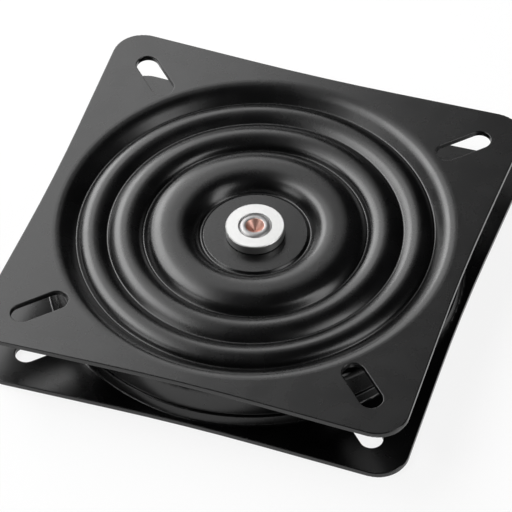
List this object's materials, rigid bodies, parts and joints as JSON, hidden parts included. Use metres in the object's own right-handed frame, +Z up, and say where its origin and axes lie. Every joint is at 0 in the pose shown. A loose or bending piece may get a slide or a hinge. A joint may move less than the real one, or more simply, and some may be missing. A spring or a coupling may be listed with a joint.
{
  "type": "seat swivel plate",
  "caption": "Square seat swivel: slotted pressed steel plates, one over the other, turn on a caged ring of balls around a central rivet with a bright washer.",
  "frame": {"origin": "bottom centre of the lower plate, on the swivel axis", "axes": "+Z up the swivel axis, +X and +Y along the plates' diagonals, through the slots"},
  "size_m": [0.2402, 0.2402, 0.0268],
  "materials": {
    "black_coat": "satin",
    "bright_zinc": "polished",
    "rivet_steel": "satin",
    "plain_steel": "satin",
    "ball_steel": "polished"
  },
  "bodies": {
    "base": {"lower_plate": "black_coat", "pivot_rivet": "rivet_steel", "top_washer": "bright_zinc", "spacer_washer": "plain_steel"},
    "seat_side": {"upper_plate": "black_coat"},
    "ball_ring": {"ball_cage": "plain_steel", "ball_01": "ball_steel", "ball_02": "ball_steel", "ball_03": "ball_steel", "ball_04": "ball_steel", "ball_05": "ball_steel", "ball_06": "ball_steel", "ball_07": "ball_steel", "ball_08": "ball_steel", "ball_09": "ball_steel", "ball_10": "ball_steel", "ball_11": "ball_steel", "ball_12": "ball_steel", "ball_13": "ball_steel", "ball_14": "ball_steel", "ball_15": "ball_steel", "ball_16": "ball_steel", "ball_17": "ball_steel", "ball_18": "ball_steel", "ball_19": "ball_steel", "ball_20": "ball_steel", "ball_21": "ball_steel", "ball_22": "ball_steel", "ball_23": "ball_steel", "ball_24": "ball_steel"}
  },
  "joints": [
    {"name": "swivel", "type": "hinge", "parent": "base", "child": "seat_side", "pos_m": [0, 0, 0], "axis": [0, 0, 1], "continuous": true},
    {"name": "ball_ring_turn", "type": "hinge", "parent": "base", "child": "ball_ring", "pos_m": [0, 0, 0], "axis": [0, 0, 1], "continuous": true}
  ],
  "couplings": [
    {"joint": "ball_ring_turn", "follows": "swivel", "ratio": 0.5}
  ]
}
